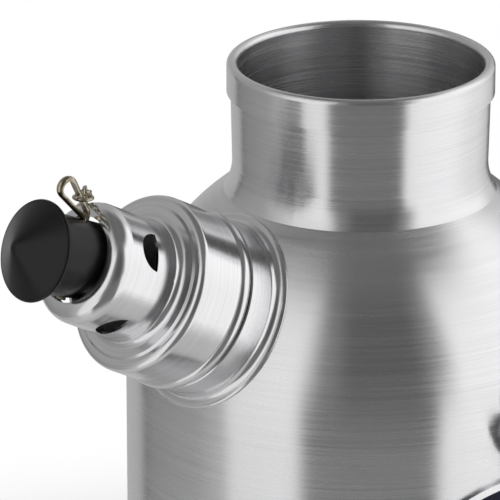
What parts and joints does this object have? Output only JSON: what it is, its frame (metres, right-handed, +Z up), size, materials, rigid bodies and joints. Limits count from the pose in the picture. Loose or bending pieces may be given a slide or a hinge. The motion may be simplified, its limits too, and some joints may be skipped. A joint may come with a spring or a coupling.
{
  "type": "storm kettle",
  "caption": "Chimney kettle with a water jacket, side spout with a whistle cap on a chain, a bail handle with a wooden grip, standing on a separate fire base.",
  "frame": {"origin": "on the kettle's axis, at the underside of the fire base", "axes": "+Z up along the chimney, -X towards the spout, -Y towards the badge, the bail folds down to +X"},
  "size_m": [0.2009, 0.158, 0.2453],
  "materials": {
    "base_pan": "brushed",
    "steel_wire": "satin",
    "body_sheet": "brushed round the axis",
    "polished_sheet": "polished",
    "silicone": "matte",
    "reeds": "satin",
    "knob": "satin",
    "small_steel": "bright",
    "lugs": "satin",
    "rivets": "satin",
    "grip_wood": "oiled",
    "badge_edge": "polished",
    "badge_field": "gloss"
  },
  "bodies": {
    "fire_base": {"fire_base_bowl": "base_pan", "base_rim_wire": "steel_wire"},
    "kettle": {"outer_shell": "body_sheet", "flue": "body_sheet", "flue_skirt": "body_sheet", "bottom_seam_ring": "body_sheet", "spout_tube": "polished_sheet", "spout_collar": "polished_sheet", "spout_backing_ring": "polished_sheet", "near_bail_lug": "lugs", "far_bail_lug": "lugs", "near_lug_rivets": "rivets", "far_lug_rivets": "rivets", "badge_frame": "badge_edge", "badge_inlay": "badge_field", "chain_tab": "small_steel", "chain_tab_rivet": "rivets", "chain_end_ring": "small_steel", "chain": "small_steel"},
    "whistle": {"whistle_cap": "polished_sheet", "whistle_seal": "silicone", "rear_reed_plate": "reeds", "reed_spacer": "reeds", "front_reed_plate": "reeds", "knob_bridge": "polished_sheet", "whistle_knob": "knob", "knob_screw": "small_steel", "knob_washer": "small_steel", "split_pin": "small_steel", "whistle_jump_ring": "small_steel"},
    "bail": {"bail_wire": "steel_wire", "grip_collars": "small_steel", "bail_washers": "small_steel"},
    "grip": {"bail_grip": "grip_wood"}
  },
  "joints": [
    {"name": "kettle_lift", "type": "slide", "parent": "fire_base", "child": "kettle", "axis": [0, 0, 1], "range_m": [0, 0.08]},
    {"name": "whistle_pull", "type": "slide", "parent": "kettle", "child": "whistle", "axis": [-0.8767, 0, 0.481], "range_m": [0, 0.03], "deforming": ["chain"]},
    {"name": "bail_swing", "type": "hinge", "parent": "kettle", "child": "bail", "pos_m": [0, 0, 0.1563], "axis": [0, -1, 0], "range_deg": [0, 172]},
    {"name": "grip_turn", "type": "hinge", "parent": "bail", "child": "grip", "pos_m": [0.0738, 0, 0.07205], "axis": [0, 1, 0], "continuous": true}
  ]
}
